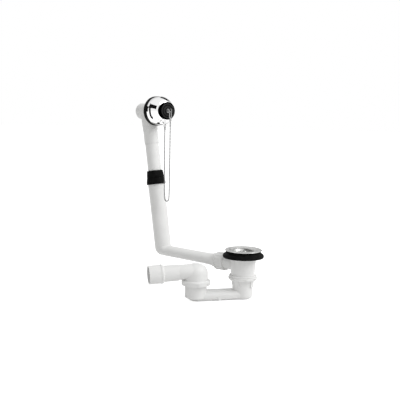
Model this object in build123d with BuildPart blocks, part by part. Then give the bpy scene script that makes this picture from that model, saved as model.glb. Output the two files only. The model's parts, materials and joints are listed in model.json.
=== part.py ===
from build123d import *
import os
from math import cos, hypot, radians, sin, sqrt, tan

# Bath waste and overflow set: strainer waste, shallow trap, side overflow, plug on a ball chain.
# Origin on the waste axis at the bath floor, +Z up, overflow towards -X. Millimetres and degrees.

# Fits between pieces
SLIDE_GAP = 0.2
RUBBER_GAP = 0.1
HANG_GAP = 0.05

# Waste flange with its strainer
FLANGE_RADIUS = 40.0
FLANGE_RISE = 1.6
FLANGE_EDGE = 0.5
FLANGE_ROUND = 2.2
FLANGE_SHEET = 1.3
DISH_MOUTH_RADIUS = 31.0
DISH_FLOOR_RADIUS = 27.5
DISH_DEPTH = 1.0
SEAT_MOUTH_RADIUS = 23.2
SEAT_MOUTH_DEPTH = 2.0
SEAT_FLOOR_RADIUS = 21.3
STRAINER_DEPTH = 6.0
STRAINER_LAND = 1.4
SPOKE_WIDTH = 4.2
SPOKE_BARS = 2
HUB_RADIUS = 8.5
HUB_TOP_RADIUS = 7.0
HUB_RISE = 4.0

# Screws, both of one thread
SCREW_RADIUS = 3.0
SCREW_HEAD_RADIUS = 5.6
SCREW_HEAD_DOME = 1.3
SCREW_SLOT = 1.2
INSERT_WALL = 1.2
INSERT_LENGTH = 12.0
INSERT_COLLAR = 1.0
INSERT_GROOVE = 0.5
SCREW_END = 1.0

# Seal under the bath floor
SEAL_HEIGHT = 9.5
SEAL_SKIRT = 6.0
SEAL_LIP = 4.0
SEAL_SETBACK = 2.5
SEAL_GROOVE = 1.0
SEAL_BORE_MARGIN = 0.5

# Waste body
BODY_FLANGE_RADIUS = 41.0
BODY_FLANGE = 3.0
BODY_TOP_RADIUS = 28.5
BODY_FOOT_RADIUS = 26.0
BODY_WALL = 2.4
BODY_DEPTH = 58.5
BODY_FOOT_BAND = 7.0
BOSS_WALL = 2.2
BOSS_DROP = 8.5
SPIDER_RIB = 2.4
SPIDER_RIBS = 3

# Side port and its union nut
SPIGOT_RADIUS = 13.2
SPIGOT_WALL = 2.0
SPIGOT_INSERT = 25.0
PORT_WALL = 1.6
PORT_HEADROOM = 2.5
PORT_THREAD = 1.2
PORT_NUT_MARGIN = 1.2
PORT_NUT_LENGTH = 24.5
PORT_NUT_WALL = 2.2
PORT_NUT_LIP = 3.0
PORT_NUT_RIM = 1.5
PORT_NUT_RIBS = 14
PORT_SEAL = 3.0
NUT_RIB = 2.0

# Lower overflow pipe
RUN_HALF_WIDTH = 19.0
RUN_HALF_HEIGHT = 12.5
COLLAR_RADIUS = 16.0
COLLAR_LENGTH = 11.0
COLLAR_ROUND = 2.0
RUN_TAPER = 18.0
RISER_REACH = 241.0
RISER_LEAN = 9.6
RISER_LENGTH = 178.0
PIPE_WALL = 2.3
TELESCOPE_GAP = 1.2
BEAD_PROUD = 0.7
BEAD_WIDTH = 1.8
BEAD_SPACING = 5.0
ELBOW_EASE = 0.4

# Telescopic tube and its rubber sleeve
TUBE_RADIUS = 16.0
TUBE_WALL = 1.8
TUBE_INSERT = 60.0
SLEEVE_GRIP = 19.0
SLEEVE_COVER = 14.0
SLEEVE_WALL = 3.0
SLEEVE_BAND = 6.0
SLEEVE_GROOVE = 0.8

# Overflow housing behind the bath wall
HEAD_DISTANCE = 335.5
HEAD_TILT = 0.5
HEAD_YAW = 12.0
NECK_LENGTH = 46.5
NECK_SKIRT = 32.0
NECK_SKIRT_WALL = 1.0
NECK_WALL = 1.8
NECK_SOCKET = 45.0
NECK_LEDGE = 2.4
NECK_SEAL = 2.5
BARREL_RADIUS = 19.4
BARREL_WALL = 2.5
BARREL_BACK = 30.5
BARREL_ROUND = 6.0
HOUSING_FLANGE_RADIUS = 30.0
HOUSING_FLANGE = 3.0
HOUSING_FACE = 31.0
POST_WALL = 2.0
POST_FRONT = 10.0

# Wall seal and chromed cover
WALL_SEAL = 15.0
WALL_SEAL_RADIUS = 34.3
WALL_SEAL_WIDTH = 12.0
WALL_SEAL_TAPER = 2.0
ROSETTE_RADIUS = 33.9
ROSETTE_DEPTH = 27.0
ROSETTE_SIDE = 5.0
ROSETTE_FACE_RADIUS = 25.5
ROSETTE_CROWN = 3.0
ROSETTE_WALL = 1.6
RECESS_DEPTH = 5.0
INLET_WIDTH = 28.0
INLET_LENGTH = 7.5
INLET_OFFSET = 8.5
LUG_WIDTH = 7.0
LUG_THICKNESS = 2.6
LUG_HOLE_RADIUS = 1.8
LUG_HOLE_DROP = 30.0
LUG_ROOT_DROP = 20.5

# Plug, its eye and the chain's small parts
PLUG_RADIUS = 20.5
PLUG_FOOT_RADIUS = 18.9
PLUG_HEIGHT = 15.5
PLUG_ROUND = 1.2
PLUG_HOLLOW_RADIUS = 13.0
PLUG_HOLLOW_DEPTH = 7.5
PLUG_RING = 1.4
PLUG_RING_DEPTH = 0.8
PLUG_RING_RADII = (9.5, 13.0, 16.5)
EYE_RADIUS = 4.5
EYE_WIRE = 1.2
EYE_DISC_RADIUS = 5.0
EYE_DISC = 1.2
EYE_STANDOFF = 4.9
EYE_SHANK_RADIUS = 2.0
LINK_WIRE = 0.9
LINK_HALF_WIDTH = 2.3
LINK_LENGTH = 14.0
RING_RADIUS = 3.4
RING_WIRE = 0.8
RING_DROP = 0.5
BELL_RADIUS = 2.3
BELL_BODY = 6.0
BELL_HOOD = 1.8
CHAIN_RADIUS = 1.5
CHAIN_BEND_SHARE = 0.45

# Chain points seen from the lowest point of the loop, half width and height, each strand from the bottom up
CHAIN_HANG = 186.7
CHAIN_BEND = ((4.0, 0.0), (8.8, 4.5), (9.7, 14.0), (10.2, 32.0), (10.6, 62.0), (10.8, 102.0))
CHAIN_PLUG_SIDE = (10.95, 144.0)
CHAIN_ANCHOR_SIDE = (10.95, 135.0)

# Union nuts of the trap
NUT_HEIGHT = 11.0
NUT_LIP = 2.3
NUT_WALL = 5.3
NUT_STEP = 2.5
NUT_NOTCHES = 8
NUT_NOTCH_WIDTH = 7.0
NUT_NOTCH_DEPTH = 1.8
OUTLET_NUT_WALL = 2.8
OUTLET_NUT_NOTCH_DEPTH = 1.2
UNION_FLANGE = 2.2
UNION_SEAL = 2.0
UNION_LEDGE = 2.0

# Trap body
TRAP_YAW = 55.0
LEG_SPACING = 105.0
INLET_LEDGE = 3.5
OUTLET_LEG_RADIUS = 23.5
OUTLET_LEG_RISE = 6.3
OUTLET_COLLAR = 5.5
TRAP_WALL = 2.4
TROUGH_DROP = 106.5
TROUGH_HEIGHT = 20.5
TROUGH_WIDTH = 40.0
LEG_ROUND = 9.0
LEG_CHAMFER = 8.0
LEG_CHAMFER_RUN = 14.0
SEAM_PROUD = 0.8
SEAM_WIDTH = 1.4
SEAM_RISE = 6.5
SEAM_LENGTH = 74.0
LUG_BLOCK = 2.4
LUG_BLOCKS = 4
LUG_BLOCK_WIDTH = 11.0
LUG_BLOCK_HEIGHT = 14.0
LUG_BLOCK_ANGLE = -84.0
GATE_RADIUS = 3.6
GATE_PROUD = 2.0
GATE_PLACE = 57.0

# Outlet elbow
LIMB_FOOT_RADIUS = 26.0
LIMB_FLAT = 4.0
ELBOW_WALL = 2.2
OUTLET_LIFT = 0.2
OUTLET_FALL = 3.0
OUTLET_NECK_RADIUS = 16.3
OUTLET_FLARE = 24.0
OUTLET_BARREL_RADIUS = 17.5
OUTLET_SPIGOT_RADIUS = 20.0
OUTLET_NECK_END = 38.0
OUTLET_BARREL_END = 74.0
OUTLET_END = 103.0
OUTLET_BEAD = 0.8
OUTLET_BEAD_WIDTH = 3.0
OUTLET_SPIGOT_WALL = 2.0


def mitred(points, thickness):
    """The inner points of an open line, moved to its left by a thickness with mitred corners."""
    moved = []
    for before, point, after in zip(points, points[1:], points[2:]):
        first = (point[0] - before[0], point[1] - before[1])
        second = (after[0] - point[0], after[1] - point[1])
        first_normal = (-first[1] / hypot(*first), first[0] / hypot(*first))
        second_normal = (-second[1] / hypot(*second), second[0] / hypot(*second))
        cosine = first_normal[0] * second_normal[0] + first_normal[1] * second_normal[1]
        scale = thickness / (1 + cosine)
        moved.append(
            (
                point[0] + scale * (first_normal[0] + second_normal[0]),
                point[1] + scale * (first_normal[1] + second_normal[1]),
            )
        )
    return moved


# Levels below the bath floor
body_top = -SEAL_HEIGHT
body_flange_foot = body_top - BODY_FLANGE
body_foot = -BODY_DEPTH
seal_foot = body_top - SEAL_SKIRT
seal_lip_radius = BODY_FLANGE_RADIUS + SEAL_LIP
body_bore = BODY_FOOT_RADIUS - BODY_WALL
hub_top = HUB_RISE - STRAINER_DEPTH
insert_radius = SCREW_RADIUS + INSERT_WALL
insert_groove_radius = insert_radius - INSERT_GROOVE
boss_radius = insert_radius + SLIDE_GAP + BOSS_WALL
boss_top = body_top - BOSS_DROP
boss_length = INSERT_LENGTH + SCREW_END + BOSS_WALL
screw_hole = SCREW_RADIUS + SLIDE_GAP
screw_sink = SCREW_HEAD_RADIUS - SCREW_RADIUS

# Side port, measured outwards from the waste axis
port_radius = SPIGOT_RADIUS + SLIDE_GAP + PORT_WALL
port_thread_radius = port_radius + PORT_THREAD
port_level = seal_foot - PORT_HEADROOM - port_radius
port_nut_inner = seal_lip_radius + PORT_NUT_MARGIN
port_nut_outer = port_nut_inner + PORT_NUT_LENGTH
port_lip = port_nut_outer - PORT_NUT_LIP
port_end = port_lip - PORT_SEAL
port_nut_bore = port_thread_radius + SLIDE_GAP
port_nut_radius = port_nut_bore + PORT_NUT_WALL
port_rim_radius = port_nut_radius + PORT_NUT_RIM
port_point = Vector(0, 0, port_level)
port_section = Plane(origin=port_point, x_dir=(-1, 0, 0), z_dir=(0, 1, 0))
port_face = Plane(origin=port_point, x_dir=(0, 1, 0), z_dir=(-1, 0, 0))
port_axis = Axis(port_point, (-1, 0, 0))

# Riser, measured up its axis from where that meets the axis of the run
riser_radius = TUBE_RADIUS + TELESCOPE_GAP + PIPE_WALL
riser_bore = riser_radius - PIPE_WALL
lean = radians(RISER_LEAN)
riser_up = Vector(-sin(lean), 0, cos(lean))
riser_point = Vector(-RISER_REACH, 0, port_level)
riser_section = Plane(origin=riser_point, x_dir=(cos(lean), 0, sin(lean)), z_dir=(0, -1, 0))
riser_axis = Axis(riser_point, riser_up)
elbow_rise = (riser_radius - RUN_HALF_HEIGHT) / cos(lean)
elbow_point = riser_point + riser_up * elbow_rise
elbow_face = Plane(origin=elbow_point, x_dir=(0, 1, 0), z_dir=(1, 0, 0))
run_start = elbow_point.X + riser_radius
run_face = Plane(origin=(run_start, 0, port_level), x_dir=(0, 1, 0), z_dir=(1, 0, 0))
collar_end = port_nut_outer + COLLAR_LENGTH
taper_end = collar_end + RUN_TAPER
taper_face = Plane(origin=(-taper_end, 0, port_level), x_dir=(0, 1, 0), z_dir=(1, 0, 0))
collar_face = Plane(origin=(-collar_end, 0, port_level), x_dir=(0, 1, 0), z_dir=(1, 0, 0))
spigot_end = port_nut_outer - SPIGOT_INSERT
spigot_bore = SPIGOT_RADIUS - SPIGOT_WALL
sleeve_foot = RISER_LENGTH - SLEEVE_GRIP
sleeve_top = RISER_LENGTH + SLEEVE_COVER
upper_bead = sleeve_foot - BEAD_SPACING
lower_bead = upper_bead - BEAD_SPACING

# Housing and cover, measured outwards from where their axis meets the riser's
tilt = radians(HEAD_TILT)
turn = radians(HEAD_YAW)
head_ahead = Vector(cos(turn), -sin(turn), 0)
head_side = Vector(sin(turn), cos(turn), 0)
head_out = head_ahead * cos(tilt) + Vector(0, 0, sin(tilt))
head_up = Vector(0, 0, cos(tilt)) - head_ahead * sin(tilt)
head_point = riser_point + riser_up * HEAD_DISTANCE
head_section = Plane(origin=head_point, x_dir=head_out, z_dir=-head_side)
head_axis = Axis(head_point, head_out)
neck_foot = HEAD_DISTANCE - NECK_LENGTH - NECK_SKIRT
neck_bore = TUBE_RADIUS + SLIDE_GAP
neck_radius = neck_bore + NECK_WALL
skirt_radius = neck_bore + NECK_SKIRT_WALL
neck_shoulder = neck_foot + NECK_SOCKET
tube_foot = RISER_LENGTH - TUBE_INSERT
tube_top = neck_shoulder - NECK_SEAL
tube_bore = TUBE_RADIUS - TUBE_WALL
neck_face = Plane(origin=riser_point + riser_up * neck_foot, x_dir=(0, 1, 0), z_dir=riser_up)
barrel_bore = BARREL_RADIUS - BARREL_WALL
barrel_floor = BARREL_WALL - BARREL_BACK
post_radius = insert_radius + SLIDE_GAP + POST_WALL
wall_face = HOUSING_FACE + WALL_SEAL
wall_seal_bore = WALL_SEAL_RADIUS - WALL_SEAL_WIDTH
rosette_face = wall_face + ROSETTE_DEPTH
rosette_shoulder = wall_face + ROSETTE_SIDE
rosette_edge = rosette_face - ROSETTE_CROWN
inlet_place = rosette_shoulder + INLET_OFFSET
recess_floor = rosette_face - RECESS_DEPTH
recess_back = recess_floor - ROSETTE_WALL
plug_front = recess_floor + PLUG_HEIGHT
plug_taper = (PLUG_RADIUS - PLUG_FOOT_RADIUS) / PLUG_HEIGHT
recess_foot_radius = PLUG_FOOT_RADIUS + SLIDE_GAP
recess_mouth_radius = recess_foot_radius + plug_taper * RECESS_DEPTH
plug_web = recess_floor + PLUG_HOLLOW_DEPTH
lug_face = Plane(origin=head_point + head_out * rosette_face, x_dir=head_side, z_dir=head_out)

# Eye, link, ring and chain ends, which hang plumb in the upright plane of the cover's axis
eye_place = plug_front + EYE_DISC + EYE_RADIUS + EYE_STANDOFF
eye_point = head_point + head_out * eye_place
link_top = eye_point.Z - EYE_RADIUS + EYE_WIRE + LINK_WIRE + HANG_GAP
link_foot = link_top - LINK_LENGTH
link_plane = Plane(origin=(eye_point.X, eye_point.Y, link_top), x_dir=head_side, z_dir=head_ahead)
lug_point = head_point + head_out * (rosette_face - LUG_THICKNESS / 2) - head_up * LUG_HOLE_DROP
ring_point = lug_point - Vector(0, 0, RING_DROP + RING_RADIUS)
ring_foot = ring_point.Z - RING_RADIUS
plug_bell_floor = link_foot - LINK_WIRE - HANG_GAP
anchor_bell_floor = ring_foot - RING_WIRE - HANG_GAP
plug_bell_foot = Vector(eye_point.X, eye_point.Y, plug_bell_floor - BELL_BODY)
anchor_bell_foot = Vector(ring_point.X, ring_point.Y, anchor_bell_floor - BELL_BODY)
plug_bell_face = Plane(origin=plug_bell_foot, x_dir=head_ahead, z_dir=(0, 0, 1))
anchor_bell_face = Plane(origin=anchor_bell_foot, x_dir=head_ahead, z_dir=(0, 0, 1))
chain_middle = (plug_bell_foot + anchor_bell_foot) / 2
chain_bottom = Vector(chain_middle.X, chain_middle.Y, plug_bell_foot.Z - CHAIN_HANG)

# Trap, its first leg on the waste axis and its second along the yawed direction
yaw = radians(TRAP_YAW)
trap_along = Vector(-cos(yaw), -sin(yaw), 0)
trap_across = trap_along.cross(Vector(0, 0, 1))
inlet_seal_foot = body_foot - UNION_SEAL
inlet_flange_foot = inlet_seal_foot - UNION_FLANGE
inlet_nut_foot = inlet_flange_foot - NUT_LIP
inlet_nut_top = inlet_nut_foot + NUT_HEIGHT
inlet_nut_bore = BODY_FOOT_RADIUS + SLIDE_GAP
inlet_nut_radius = inlet_nut_bore + NUT_WALL
inlet_leg_radius = BODY_FOOT_RADIUS - INLET_LEDGE
inlet_bore = inlet_leg_radius - TRAP_WALL
outlet_bore = OUTLET_LEG_RADIUS - TRAP_WALL
limb_flange_radius = LIMB_FOOT_RADIUS + UNION_LEDGE
outlet_leg_top = inlet_flange_foot - OUTLET_LEG_RISE + UNION_SEAL
outlet_seal_top = outlet_leg_top + UNION_SEAL
limb_foot = outlet_seal_top + UNION_FLANGE
outlet_nut_top = limb_foot + NUT_LIP
outlet_nut_foot = outlet_nut_top - NUT_HEIGHT
outlet_nut_bore = limb_flange_radius + SLIDE_GAP
outlet_nut_radius = outlet_nut_bore + OUTLET_NUT_WALL
trough_foot = -TROUGH_DROP
trough_level = trough_foot + TROUGH_HEIGHT / 2
leg_point = trap_along * LEG_SPACING
leg_section = Plane(origin=leg_point, x_dir=(1, 0, 0), z_dir=(0, -1, 0))
leg_axis = Axis(leg_point, (0, 0, 1))
trough_face = Plane(origin=(0, 0, trough_level), x_dir=trap_across, z_dir=trap_along)
seam_point = trap_along * (LEG_SPACING / 2) + Vector(0, 0, trough_foot + SEAM_RISE)
gate_point = trap_along * GATE_PLACE + Vector(0, 0, trough_foot + SEAM_RISE)

# Outlet pipe, measured along its falling axis from the axis of the second leg
fall = radians(OUTLET_FALL)
outlet_dir = trap_along * cos(fall) - Vector(0, 0, sin(fall))
outlet_level = outlet_nut_top + OUTLET_LIFT + outlet_nut_radius * tan(fall) + OUTLET_NECK_RADIUS / cos(fall)
outlet_point = leg_point + Vector(0, 0, outlet_level)
outlet_section = Plane(origin=outlet_point, x_dir=outlet_dir, z_dir=trap_across)
outlet_axis = Axis(outlet_point, outlet_dir)
outlet_neck_bore = OUTLET_NECK_RADIUS - ELBOW_WALL
outlet_barrel_bore = OUTLET_BARREL_RADIUS - ELBOW_WALL
outlet_spigot_bore = OUTLET_SPIGOT_RADIUS - OUTLET_SPIGOT_WALL

# Waste flange: crowned rim, dished floor, plug seat and strainer with a hub
flange_line = [
    (DISH_MOUTH_RADIUS, FLANGE_RISE),
    (DISH_FLOOR_RADIUS, -DISH_DEPTH),
    (SEAT_MOUTH_RADIUS, -SEAT_MOUTH_DEPTH),
    (SEAT_FLOOR_RADIUS, -STRAINER_DEPTH),
    (HUB_RADIUS, -STRAINER_DEPTH),
]
flange_under = mitred(flange_line, FLANGE_SHEET)
with BuildPart() as waste_flange:
    with BuildSketch(Plane.XZ):
        with BuildLine():
            Polyline(
                (FLANGE_RADIUS, FLANGE_EDGE),
                (FLANGE_RADIUS, 0),
                (DISH_MOUTH_RADIUS, 0),
                *flange_under,
                (0, -STRAINER_DEPTH - FLANGE_SHEET),
                (0, hub_top),
                (HUB_TOP_RADIUS, hub_top),
                *reversed(flange_line),
                (FLANGE_RADIUS - FLANGE_ROUND, FLANGE_RISE),
            )
            TangentArc(
                (FLANGE_RADIUS - FLANGE_ROUND, FLANGE_RISE),
                (FLANGE_RADIUS, FLANGE_EDGE),
                tangent=(1, 0),
            )
        make_face()
    revolve(axis=Axis.Z)
    with BuildSketch(Plane.XY.offset(-STRAINER_DEPTH)):
        Circle(SEAT_FLOOR_RADIUS - STRAINER_LAND)
        Circle(HUB_RADIUS + STRAINER_LAND, mode=Mode.SUBTRACT)
        with PolarLocations(0, SPOKE_BARS, angular_range=180):
            Rectangle(2 * SEAT_FLOOR_RADIUS, SPOKE_WIDTH, mode=Mode.SUBTRACT)
    extrude(amount=FLANGE_SHEET, both=True, mode=Mode.SUBTRACT)
    with Locations((0, 0, hub_top)):
        CounterSinkHole(screw_hole, SCREW_HEAD_RADIUS + SLIDE_GAP, counter_sink_angle=90)

# Waste screw: raised countersunk head with a slot
with BuildPart() as waste_screw:
    with BuildSketch(Plane.XZ):
        with BuildLine():
            TangentArc((0, hub_top + SCREW_HEAD_DOME), (SCREW_HEAD_RADIUS, hub_top), tangent=(1, 0))
            Polyline(
                (SCREW_HEAD_RADIUS, hub_top),
                (SCREW_RADIUS, hub_top - screw_sink),
                (SCREW_RADIUS, boss_top - INSERT_LENGTH),
                (0, boss_top - INSERT_LENGTH),
                (0, hub_top + SCREW_HEAD_DOME),
            )
        make_face()
    revolve(axis=Axis.Z)
    with BuildSketch(Plane.XY.offset(hub_top)):
        Rectangle(2 * SCREW_HEAD_RADIUS, SCREW_SLOT)
    extrude(amount=SCREW_HEAD_DOME, mode=Mode.SUBTRACT)

# Seal: upper lip, groove, wide lower lip with a skirt over the body's flange
seal_bore = DISH_MOUTH_RADIUS + SEAL_BORE_MARGIN
seal_top_radius = FLANGE_RADIUS - SEAL_SETBACK
skirt_bore = BODY_FLANGE_RADIUS + RUBBER_GAP
with BuildPart() as waste_seal:
    with BuildSketch(Plane.XZ):
        with BuildLine():
            Polyline(
                (seal_bore, 0),
                (seal_top_radius, 0),
                (seal_top_radius + SEAL_GROOVE, -SEAL_HEIGHT / 4),
                (seal_top_radius, -SEAL_HEIGHT / 2),
                (seal_lip_radius - SEAL_GROOVE, body_top),
                (seal_lip_radius, body_top - SEAL_SKIRT / 2),
                (seal_lip_radius - SEAL_GROOVE, seal_foot),
                (skirt_bore, seal_foot),
                (skirt_bore, body_top),
                (seal_bore, body_top),
                close=True,
            )
        make_face()
    revolve(axis=Axis.Z)

# Waste body: tapered cup with a flange, a threaded foot, a side port and a spider with a boss
with BuildPart() as waste_body:
    with BuildSketch(Plane.XZ):
        with BuildLine():
            Polyline(
                (0, body_top),
                (BODY_FLANGE_RADIUS, body_top),
                (BODY_FLANGE_RADIUS, body_flange_foot),
                (BODY_TOP_RADIUS, body_flange_foot),
                (BODY_FOOT_RADIUS, body_foot + BODY_FOOT_BAND),
                (BODY_FOOT_RADIUS, body_foot),
                (0, body_foot),
                close=True,
            )
        make_face()
    revolve(axis=Axis.Z)
    with BuildSketch(port_section):
        with BuildLine():
            Polyline(
                (0, 0),
                (port_end, 0),
                (port_end, port_thread_radius),
                (port_nut_inner, port_thread_radius),
                (port_nut_inner - PORT_THREAD, port_radius),
                (0, port_radius),
                close=True,
            )
        make_face()
    revolve(axis=port_axis)
    with BuildSketch(Plane.XY.offset(body_top)):
        Circle(body_bore)
    extrude(amount=body_foot - body_top, mode=Mode.SUBTRACT)
    with BuildSketch(port_face):
        Circle(SPIGOT_RADIUS + SLIDE_GAP)
    extrude(amount=port_end, mode=Mode.SUBTRACT)
    with BuildSketch(Plane.XY.offset(boss_top)):
        Circle(boss_radius)
        with PolarLocations(body_bore / 2, SPIDER_RIBS):
            Rectangle(body_bore + BODY_WALL, SPIDER_RIB)
    extrude(amount=-boss_length)
    with Locations((0, 0, boss_top)):
        Hole(insert_radius + SLIDE_GAP, INSERT_LENGTH + SCREW_END)

# Brass insert in the boss, with a collar at each end and a waist between them
with BuildPart() as waste_insert:
    with BuildSketch(Plane.XZ):
        with BuildLine():
            Polyline(
                (screw_hole, boss_top),
                (insert_radius, boss_top),
                (insert_radius, boss_top - INSERT_LENGTH / 2 + INSERT_COLLAR),
                (insert_groove_radius, boss_top - INSERT_LENGTH / 2 + INSERT_COLLAR),
                (insert_groove_radius, boss_top - INSERT_LENGTH / 2 - INSERT_COLLAR),
                (insert_radius, boss_top - INSERT_LENGTH / 2 - INSERT_COLLAR),
                (insert_radius, boss_top - INSERT_LENGTH),
                (screw_hole, boss_top - INSERT_LENGTH),
                close=True,
            )
        make_face()
    revolve(axis=Axis.Z)

# Union nut on the side port, with grip ribs and a raised outer rim
with BuildPart() as port_nut:
    with BuildSketch(port_section):
        with BuildLine():
            Polyline(
                (port_nut_inner, port_nut_bore),
                (port_nut_inner, port_nut_radius),
                (port_lip, port_nut_radius),
                (port_lip, port_rim_radius),
                (port_nut_outer - PORT_NUT_RIM, port_rim_radius),
                (port_nut_outer, port_nut_radius),
                (port_nut_outer, SPIGOT_RADIUS + SLIDE_GAP),
                (port_lip, SPIGOT_RADIUS + SLIDE_GAP),
                (port_lip, port_nut_bore),
                close=True,
            )
        make_face()
    revolve(axis=port_axis)
    with BuildSketch(port_face.offset(port_nut_inner)):
        with PolarLocations(port_nut_radius, PORT_NUT_RIBS):
            Rectangle(NUT_RIB, NUT_RIB)
    extrude(amount=PORT_NUT_LENGTH - PORT_NUT_LIP)

# Rubber ring in the port nut
with BuildPart() as port_seal:
    with BuildSketch(port_face.offset(port_end)):
        Circle(port_thread_radius)
        Circle(SPIGOT_RADIUS + RUBBER_GAP, mode=Mode.SUBTRACT)
    extrude(amount=PORT_SEAL)

# Lower overflow pipe: round riser with a domed foot, flat oval run, collar and spigot, hollow throughout
dome_middle = sqrt(0.5)
with BuildPart() as overflow_pipe:
    with BuildSketch(riser_section):
        with BuildLine():
            ThreePointArc(
                (0, elbow_rise - riser_radius),
                (riser_radius * dome_middle, elbow_rise - riser_radius * dome_middle),
                (riser_radius, elbow_rise),
            )
            Polyline(
                (riser_radius, elbow_rise),
                (riser_radius, RISER_LENGTH),
                (0, RISER_LENGTH),
                (0, elbow_rise - riser_radius),
            )
        make_face()
    revolve(axis=riser_axis)
    with BuildSketch(elbow_face):
        Circle(riser_radius - ELBOW_EASE)
    with BuildSketch(run_face):
        Ellipse(RUN_HALF_WIDTH, RUN_HALF_HEIGHT)
    loft()
    with BuildSketch(run_face):
        Ellipse(RUN_HALF_WIDTH, RUN_HALF_HEIGHT)
    extrude(amount=-run_start - taper_end)
    with BuildSketch(taper_face):
        Ellipse(RUN_HALF_WIDTH, RUN_HALF_HEIGHT)
    with BuildSketch(collar_face):
        Circle(COLLAR_RADIUS - COLLAR_ROUND)
    loft()
    with BuildSketch(port_section):
        with BuildLine():
            Polyline(
                (spigot_end, 0),
                (spigot_end, SPIGOT_RADIUS),
                (port_nut_outer, SPIGOT_RADIUS),
                (port_nut_outer, COLLAR_RADIUS),
                (collar_end - COLLAR_ROUND, COLLAR_RADIUS),
                (collar_end, COLLAR_RADIUS - COLLAR_ROUND),
                (collar_end, 0),
                close=True,
            )
        make_face()
    revolve(axis=port_axis)
    with BuildSketch(riser_section):
        with Locations((riser_radius, upper_bead), (riser_radius, lower_bead)):
            Rectangle(2 * BEAD_PROUD, BEAD_WIDTH)
    revolve(axis=riser_axis)
    with BuildSketch(riser_section):
        with BuildLine():
            ThreePointArc(
                (0, elbow_rise - riser_bore),
                (riser_bore * dome_middle, elbow_rise - riser_bore * dome_middle),
                (riser_bore, elbow_rise),
            )
            Polyline(
                (riser_bore, elbow_rise),
                (riser_bore, RISER_LENGTH),
                (0, RISER_LENGTH),
                (0, elbow_rise - riser_bore),
            )
        make_face()
    revolve(axis=riser_axis, mode=Mode.SUBTRACT)
    with BuildSketch(elbow_face):
        Circle(riser_bore - ELBOW_EASE)
    with BuildSketch(run_face):
        Ellipse(RUN_HALF_WIDTH - PIPE_WALL, RUN_HALF_HEIGHT - PIPE_WALL)
    loft(mode=Mode.SUBTRACT)
    with BuildSketch(run_face):
        Ellipse(RUN_HALF_WIDTH - PIPE_WALL, RUN_HALF_HEIGHT - PIPE_WALL)
    extrude(amount=-run_start - taper_end, mode=Mode.SUBTRACT)
    with BuildSketch(taper_face):
        Ellipse(RUN_HALF_WIDTH - PIPE_WALL, RUN_HALF_HEIGHT - PIPE_WALL)
    with BuildSketch(collar_face):
        Circle(spigot_bore)
    loft(mode=Mode.SUBTRACT)
    with BuildSketch(port_face.offset(spigot_end)):
        Circle(spigot_bore)
    extrude(amount=collar_end - spigot_end, mode=Mode.SUBTRACT)

# Upper tube, which slides in the riser
with BuildPart() as overflow_tube:
    with BuildSketch(riser_section):
        with BuildLine():
            Polyline(
                (tube_bore, tube_foot),
                (TUBE_RADIUS, tube_foot),
                (TUBE_RADIUS, tube_top),
                (tube_bore, tube_top),
                close=True,
            )
        make_face()
    revolve(axis=riser_axis)

# Rubber sleeve over the end of the riser, with two bands
sleeve_foot_radius = riser_radius + SLEEVE_WALL
sleeve_top_radius = TUBE_RADIUS + SLEEVE_WALL
sleeve_middle = (sleeve_foot + sleeve_top) / 2
sleeve_middle_radius = (sleeve_foot_radius + sleeve_top_radius) / 2
with BuildPart() as coupling_sleeve:
    with BuildSketch(riser_section):
        with BuildLine():
            Polyline(
                (riser_radius + RUBBER_GAP, sleeve_foot),
                (sleeve_foot_radius, sleeve_foot),
                (sleeve_foot_radius, sleeve_foot + SLEEVE_BAND),
                (sleeve_middle_radius, sleeve_middle - SLEEVE_GROOVE),
                (sleeve_middle_radius - SLEEVE_GROOVE, sleeve_middle),
                (sleeve_middle_radius, sleeve_middle + SLEEVE_GROOVE),
                (sleeve_top_radius, sleeve_top - SLEEVE_GROOVE),
                (sleeve_top_radius - SLEEVE_GROOVE, sleeve_top),
                (TUBE_RADIUS + RUBBER_GAP, sleeve_top),
                (TUBE_RADIUS + RUBBER_GAP, RISER_LENGTH),
                (riser_radius + RUBBER_GAP, RISER_LENGTH),
                close=True,
            )
        make_face()
    revolve(axis=riser_axis)

# Rubber ring between the tube's end and the shoulder in the housing's neck
with BuildPart() as neck_seal:
    with BuildSketch(riser_section):
        with BuildLine():
            Polyline(
                (tube_bore, tube_top),
                (TUBE_RADIUS, tube_top),
                (TUBE_RADIUS, neck_shoulder),
                (tube_bore, neck_shoulder),
                close=True,
            )
        make_face()
    revolve(axis=riser_axis)

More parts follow.
